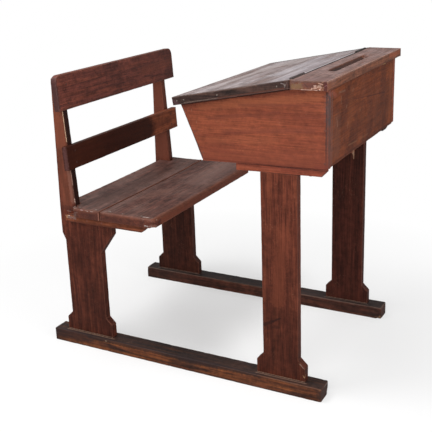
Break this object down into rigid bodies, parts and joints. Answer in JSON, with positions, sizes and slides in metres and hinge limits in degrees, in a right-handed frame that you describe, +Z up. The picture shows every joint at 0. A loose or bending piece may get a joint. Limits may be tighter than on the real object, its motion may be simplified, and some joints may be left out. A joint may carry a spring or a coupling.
{
  "type": "school desk with lift lid",
  "caption": "Wooden school desk on floor runners, with a sloping lift lid over a book box, a pen rail and an attached bench with a railed back.",
  "frame": {"origin": "on the floor under the centre of the whole object's box", "axes": "+X the way the pupil faces, from the bench to the desk; +Y the pupil's left; +Z up"},
  "size_m": [0.825, 0.58, 0.7877],
  "materials": {
    "runner_wood": "dark stain, worn",
    "frame_wood": "red-brown stain and old polish, satin",
    "cleat_wood": "red-brown stain, worn",
    "seat_wood": "worn grey-brown",
    "back_rail_wood": "dark red-brown stain, satin",
    "box_wood": "red-brown stain, satin",
    "inner_wood": "bare, aged",
    "pen_rail_wood": "worn grey-brown",
    "lid_wood": "weathered, matt",
    "lid_edge_wood": "near black, worn",
    "hinge_iron": "dark, slightly rusted",
    "fastener_steel": "dulled"
  },
  "bodies": {
    "frame": {"back_rail_nails": "fastener_steel", "bearer_screws": "fastener_steel", "bottom_board_brads": "fastener_steel", "box_back_panel": "box_wood", "box_corner_nails": "fastener_steel", "box_front_panel": "box_wood", "cleat_nails": "fastener_steel", "front_bottom_board": "inner_wood", "front_seat_board": "seat_wood", "left_bench_end": "frame_wood", "left_box_side": "box_wood", "left_desk_bearer": "frame_wood", "left_desk_standard": "frame_wood", "left_hinge_pin": "hinge_iron", "left_hinge_rail_leaf": "hinge_iron", "left_runner": "runner_wood", "left_seat_cleat": "cleat_wood", "middle_back_rail": "back_rail_wood", "pen_rail": "pen_rail_wood", "pen_rail_nails": "fastener_steel", "rail_leaf_screws": "fastener_steel", "rear_bottom_board": "inner_wood", "rear_seat_board": "seat_wood", "right_bench_end": "frame_wood", "right_box_side": "box_wood", "right_desk_bearer": "frame_wood", "right_desk_standard": "frame_wood", "right_hinge_pin": "hinge_iron", "right_hinge_rail_leaf": "hinge_iron", "right_runner": "runner_wood", "right_seat_cleat": "cleat_wood", "seat_nails": "fastener_steel", "top_back_rail": "back_rail_wood"},
    "lid": {"lid_panel": "lid_wood", "right_lid_lipping": "lid_edge_wood", "left_lid_lipping": "lid_edge_wood", "lipping_brads": "fastener_steel", "right_hinge_lid_leaf": "hinge_iron", "left_hinge_lid_leaf": "hinge_iron", "lid_leaf_screws": "fastener_steel"}
  },
  "joints": [
    {"name": "lid_hinge", "type": "hinge", "parent": "frame", "child": "lid", "pos_m": [0.32275, 0, 0.7845], "axis": [0, 1, 0], "range_deg": [0, 180]}
  ]
}
